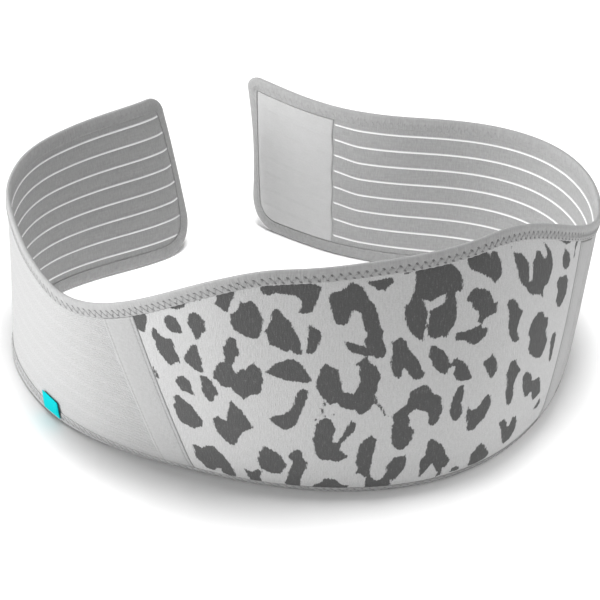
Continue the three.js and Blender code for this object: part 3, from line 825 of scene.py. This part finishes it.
def wing_rows():
    """Rows of corners up a wing: close together over each rib and at the edges, and far apart between."""
    edges = [FOLD_SEAT, 5, 8, BINDING_WIDTH]
    kept = edges + [WING_HEIGHT - edge for edge in edges]
    for rib in rib_heights:
        for place, _ in RIB_PROFILE:
            kept += {rib - place * RIB_WIDTH, rib + place * RIB_WIDTH}
        kept += [rib + share * RIB_PITCH for share in (0.27, 0.42, 0.58, 0.73)]
    return np.array(sorted(k for k in kept if FOLD_SEAT <= k <= WING_HEIGHT - FOLD_SEAT))


def rib_share(t, u, ribs_from, ribs_to):
    away = np.min(np.abs(t[:, None] - rib_heights[None, :]), axis=1) / RIB_WIDTH
    rise = np.interp(away, *zip(*RIB_PROFILE))
    open_cloth = edge_limits(u, BINDING_EDGE)[0] < t - RIB_WIDTH / 2
    return rise * open_cloth * (u >= ribs_from) * (u <= ribs_to)


def drawn_up(t, u):
    """Where the hook patch is sewn on, the wing's ribs are drawn up next to it."""
    rising = smoothstep(u, patch_edge - LIFT_REACH, patch_edge)
    falling = smoothstep(u, patch_edge, patch_edge + LIFT_FADE)
    share = np.clip((t - BINDING_EDGE) / (WING_HEIGHT - 2 * BINDING_EDGE), 0, 1)
    return LIFT * (rising - falling) * np.sqrt(np.sin(np.pi * share))


def add_wing(side_name, columns, ribs_from, ribs_to):
    """A wing, with ribs inside from one length to another."""
    def spot(u, t, side):
        height = row_height(t, u, FOLD_SEAT, WING_HEIGHT, last_rib)
        rise = RIB_RISE * rib_share(t, u, ribs_from, ribs_to)
        depth = np.where(side > 0, WING_HALF, -WING_HALF - rise)
        return np.column_stack([slanted(u, height), height + drawn_up(height, u), depth])

    bm, (u, t, side) = sheet(columns, wing_rows(), spot)
    ribs = rib_share(t, u, ribs_from, ribs_to) * (side < 0)
    return add_piece(f"ribbed_{side_name}_wing", bm, f"{side_name}_wing", elastic,
                     marks={"rib": ribs})


patch_edge = BELT_LENGTH - PATCH_REACH - CLEARANCE
end_columns = np.linspace(FOLD_SEAT, BINDING_EDGE, 7)
curl_columns = BINDING_EDGE + np.array(CURL_STEPS)
left_columns = np.concatenate([
    end_columns, curl_columns, rows_between(curl_columns[-1] + 2, JOIN_AT - CLEARANCE / 2, WING_STEP)])
right_columns = np.concatenate([
    rows_between(BELT_LENGTH - JOIN_AT + CLEARANCE / 2, patch_edge, RIBS_STEP),
    rows_between(patch_edge + 1, BELT_LENGTH - curl_columns[-1] - 2, WING_STEP),
    BELT_LENGTH - curl_columns[::-1], BELT_LENGTH - end_columns[::-1]])
left_wing = add_wing("left", left_columns, BINDING_EDGE + RIBS_END, BELT_LENGTH)
right_wing = add_wing("right", right_columns, 0, patch_edge - RIBS_END)

# Slanted strips over the joins, with rounded edges and a sunk row of stitches along each

STRIP_STEP = 2.4
STRIP_PROFILE = (
    (-0.5, 0.9), (-0.47, 0.45), (-0.42, 0.1), (-0.4, 0.3), (-0.38, 0.1), (-0.3, 0.0), (-0.1, 0.0),
)
strip_across = [share * STRIP_WIDTH for share, _ in STRIP_PROFILE]
strip_sunk = [sunk * PRESSED_TAPE for _, sunk in STRIP_PROFILE]
strip_across = np.array(strip_across + [-place for place in strip_across[::-1]])
strip_sunk = np.array(strip_sunk + strip_sunk[::-1])


def strip_spot(middle):
    def spot(u, t, side):
        height = row_height(t, u, BINDING_EDGE, PANEL_HEIGHT, TUCK_HEIGHT)
        rise = PRESSED_TAPE - np.interp(u - middle, strip_across, strip_sunk)
        depth = CLOTH_HALF + LAID_GAP + np.where(side > 0, rise, 0)
        return np.column_stack([slanted(u, height), height, depth])
    return spot


strip_rows = rows_between(BINDING_EDGE, PANEL_HEIGHT - BINDING_EDGE, STRIP_STEP)
for side_name, middle in (("left", JOIN_AT), ("right", BELT_LENGTH - JOIN_AT)):
    bm, (u, _, _) = sheet(middle + strip_across, strip_rows, strip_spot(middle))
    add_piece(f"{side_name}_strip", bm, f"{side_name}_join_strip", join_tape,
                            marks={"across": u - middle})

# Hook patch, pressed on the ribs that go on under it

PATCH_SLOPE = 0.09
PATCH_STEP = 1.2
PATCH_SWELL = 0.35
PATCH_WAVE = 0.5


def patch_spot(u, t, side):
    """The patch swells over each rib, is rounded at its edges and has a slightly wavy cut edge."""
    height = row_height(t, u, patch_inset, WING_HEIGHT, WING_HEIGHT / 2)
    from_edge = u - patch_edge
    rib_line = height - LIFT - PATCH_SLOPE * from_edge
    away = np.abs((rib_line - first_rib + RIB_PITCH / 2) % RIB_PITCH - RIB_PITCH / 2)
    inward = np.minimum(np.minimum(from_edge, BELT_LENGTH - patch_inset - u), height - patch_inset)
    swell = np.exp(-((away / 1.1) ** 2)) * smoothstep(inward, 1, 6)
    rise = PRESSED_TAPE + PATCH_SWELL * (swell - 1 + smoothstep(inward, 0, 1.6))
    wave = PATCH_WAVE * np.sin(height / 5.5) * (from_edge < 3)
    depth = -WING_HALF - LAID_GAP - np.where(side > 0, 0, rise)
    return np.column_stack([u + wave, height, depth])


patch_inset = BINDING_WIDTH + TAPE_CLEARANCE
bm, _ = sheet(rows_between(BELT_LENGTH - PATCH_REACH, BELT_LENGTH - patch_inset, PATCH_STEP),
              rows_between(patch_inset, WING_HEIGHT - patch_inset, PATCH_STEP), patch_spot)
hook_patch = add_piece("smooth_hook_patch", bm, "hook_patch", hook_tape)

# Binding: half of its folded section, as depth from the edge and distance from the middle of the cloth

BINDING_SECTION = (
    (0.0, 0.0), (0.12, 0.7), (0.45, 1.25), (1.1, 1.6), (2.4, 1.8), (4.0, 1.85), (5.0, 1.84), (5.6, 1.8),
    (6.3, 1.84), (8.4, 1.84), (9.3, 1.78), (10.2, 1.8), (11.0, 1.55), (10.9, 1.24), (8.0, 1.2), (3.0, 1.2),
    (1.4, 0.9), (1.1, 0.0),
)
NEEDLE_DENT = 0.4
INNER_DENT = 0.3
HOLE_WIDTH, HOLE_HEIGHT = 0.8, 0.9
SCALLOP = 0.22
STATIONS_TO_STITCH = 4


def needle_dent(places, deep, face):
    """How far the stitch draws the tape in, less on the inner face than on the outer one."""
    drawn = np.zeros(np.broadcast(places, deep).shape)
    for row, phase in ((UPPER_ROW, 0.0), (LOWER_ROW, 0.5)):
        away = np.abs((places / pitch + phase + 0.5) % 1 - 0.5) * pitch
        drawn += NEEDLE_DENT * np.exp(-((away / HOLE_WIDTH) ** 2) - ((deep - row) / HOLE_HEIGHT) ** 2)
    return drawn * (1 if face > 0 else INNER_DENT)


def binding_stations():
    places = np.arange(stitches * STATIONS_TO_STITCH) * pitch / STATIONS_TO_STITCH
    rim = rim_at(places)
    section = list(BINDING_SECTION) + [(deep, -off) for deep, off in BINDING_SECTION[-2:0:-1]]
    stations = np.empty((len(places), len(section), 3))
    pattern = np.empty_like(stations)
    for j, (deep, off) in enumerate(section):
        outer = abs(off) > 1.5 or deep > 10.4
        here = deep + SCALLOP * np.cos(2 * math.pi * places / pitch) * (deep > 10)
        stations[:, j, 0] = rim[:, 0] + rim[:, 2] * here
        stations[:, j, 1] = rim[:, 1] + rim[:, 3] * here
        stations[:, j, 2] = off - math.copysign(1, off) * needle_dent(places, deep, off) * outer
        pattern[:, j] = np.column_stack([places, 0 * places + deep, 0 * places + off])
    return stations, pattern


stations, pattern = binding_stations()
bm, (i, j) = tube(stations, stations.shape[1], True)
binding = add_piece("folded_edge_binding", bm, "edge_binding", binding_tape,
                    places=pattern[i, j], weld=0.01)

# The cover stitch's thread on each face: it goes to and fro between the two rows of needle holes

THREAD_SIDES = 5
THREAD_ARCH = 1.6
THREAD_SUNK = 0.5
STATIONS_TO_THREAD = 8


def thread_stations(face, radius):
    places = np.arange(stitches * STATIONS_TO_THREAD) * pitch / STATIONS_TO_THREAD
    swing = np.abs((places / pitch) % 1 * 2 - 1)
    deep = LOWER_ROW + (UPPER_ROW - LOWER_ROW) * swing
    rim = rim_at(places)
    rise = np.interp(deep, *zip(*BINDING_SECTION[1:11])) - needle_dent(places, deep, face)
    rise += radius * (THREAD_ARCH * np.sin(np.pi * swing) - THREAD_SUNK)
    stations = np.empty((len(places), THREAD_SIDES, 3))
    for k in range(THREAD_SIDES):
        angle = 2 * math.pi * k / THREAD_SIDES
        here = deep + radius * math.cos(angle)
        stations[:, k, 0] = rim[:, 0] + rim[:, 2] * here
        stations[:, k, 1] = rim[:, 1] + rim[:, 3] * here
        stations[:, k, 2] = face * (rise + radius * math.sin(angle))
    return stations


for face_name, face, radius in (("outer", 1, 0.2), ("inner", -1, 0.12)):
    bm, _ = tube(thread_stations(face, radius), THREAD_SIDES, True)
    add_piece(f"{face_name}_cover_stitch", bm, None, thread, weld=0.005)

# Side label, with softened corners

LABEL_STEP = 0.8


def label_spot(u, t, side):
    aside = np.abs(u - label_middle) / (LABEL_WIDTH / 2)
    above = np.abs(t - LABEL_RAISED - LABEL_HEIGHT / 2) / (LABEL_HEIGHT / 2)
    edge = np.maximum(aside, above)
    corner = 0.5 * (aside * above) ** 8
    thick = LABEL_THICK * (1 - 0.5 * smoothstep(edge, 0.88, 1))
    depth = PRESSED_HALF + TAPE_CLEARANCE + np.where(side > 0, thick, 0) + 0.25 * smoothstep(aside, 0.4, 1)
    return np.column_stack([u - corner * np.sign(u - label_middle), t, depth])


label_middle = LABEL_SHARE * BELT_LENGTH
bm, _ = sheet(rows_between(label_middle - LABEL_WIDTH / 2, label_middle + LABEL_WIDTH / 2, LABEL_STEP),
              rows_between(LABEL_RAISED, LABEL_RAISED + LABEL_HEIGHT, LABEL_STEP), label_spot)
label = add_piece("bare_side_label", bm, "side_label", label_tape)

# Floor, light and camera

FLOOR_SHADE = 0xFDFDFD
FLOOR_HALF = 6
FLOOR_DROP = 0.0003
SKY = 0.03
floor_material = material("pale_floor")
floor_shader = node(floor_material, "ShaderNodeBsdfPrincipled", Base_Color=colour(FLOOR_SHADE),
                    Roughness=0.9, Specular_IOR_Level=0.1)
node(floor_material, "ShaderNodeOutputMaterial", Surface=(floor_shader, "BSDF"))
bm = bmesh.new()
bmesh.ops.create_grid(bm, x_segments=1, y_segments=1, size=FLOOR_HALF)
floor_mesh = bpy.data.meshes.new("floor")
bm.to_mesh(floor_mesh)
bm.free()
floor_mesh.materials.append(floor_material)
floor = bpy.data.objects.new("floor", floor_mesh)
floor.location = (0, 0, -FLOOR_DROP)
bpy.context.scene.collection.objects.link(floor)

world = bpy.data.worlds.new("studio")
bpy.context.scene.world = world
world.use_nodes = True
background = world.node_tree.nodes["Background"]
background.inputs["Color"].default_value = (1, 1, 1, 1)
background.inputs["Strength"].default_value = SKY

belt_group = bpy.data.collections.new("belt")
for piece in pieces:
    belt_group.objects.link(piece)
floor_group = bpy.data.collections.new("floor_alone")
floor_group.objects.link(floor)


def softbox(name, azimuth, elevation, distance, size, power, lit=None):
    """A soft light that looks at the belt from an azimuth, seen from above with -90 in front of the panel.
    It can light one group alone: the side lights leave out the floor, as a white sweep is lit by itself."""
    data = bpy.data.lights.new(name, "AREA")
    data.shape = "RECTANGLE"
    data.size, data.size_y = size
    data.energy = power
    lamp = bpy.data.objects.new(name, data)
    turn, rise = math.radians(azimuth), math.radians(elevation)
    way = Vector((math.cos(turn) * math.cos(rise), math.sin(turn) * math.cos(rise), math.sin(rise)))
    lamp.location = way * distance + Vector((0, 0, 0.08))
    lamp.rotation_mode = "QUATERNION"
    lamp.rotation_quaternion = way.to_track_quat("Z", "Y")
    bpy.context.scene.collection.objects.link(lamp)
    if lit:
        lamp.light_linking.receiver_collection = lit


# Azimuth, elevation, distance and size in metres, power in watts
softbox("overhead_softbox", 90, 89, 1.9, (0.9, 0.9), 21)
softbox("sweep_light", 90, 89, 3.4, (1.3, 1.3), 84, floor_group)
softbox("sweep_front_light", -80, 42, 3.0, (2.6, 1.0), 25, floor_group)
softbox("sweep_right_light", 0, 42, 3.0, (2.0, 1.0), 21, floor_group)
softbox("left_softbox", -162, 17, 1.8, (1.3, 0.9), 35, belt_group)
softbox("left_upper_softbox", -165, 42, 1.8, (1.0, 1.0), 7, belt_group)
softbox("right_softbox", -15, 9, 1.8, (1.3, 0.6), 11.5, belt_group)
softbox("back_softbox", 90, 50, 1.9, (1.2, 1.0), 12, belt_group)

CAMERA_ELEVATION = 36.014
CAMERA_DISTANCE = 2.04266
CAMERA_AIM = (-0.00051, 0.06868, 0)
LENS = 154.63
camera_data = bpy.data.cameras.new("camera")
camera_data.lens = LENS
camera_data.sensor_width = 36
camera = bpy.data.objects.new("camera", camera_data)
elevation = math.radians(CAMERA_ELEVATION)
back = Vector((0, -math.cos(elevation), math.sin(elevation)))
camera.location = Vector(CAMERA_AIM) + back * CAMERA_DISTANCE
camera.rotation_mode = "QUATERNION"
camera.rotation_quaternion = (-back).to_track_quat("-Z", "Y")
bpy.context.scene.collection.objects.link(camera)
bpy.context.scene.camera = camera
bpy.context.scene.view_settings.view_transform = "Standard"
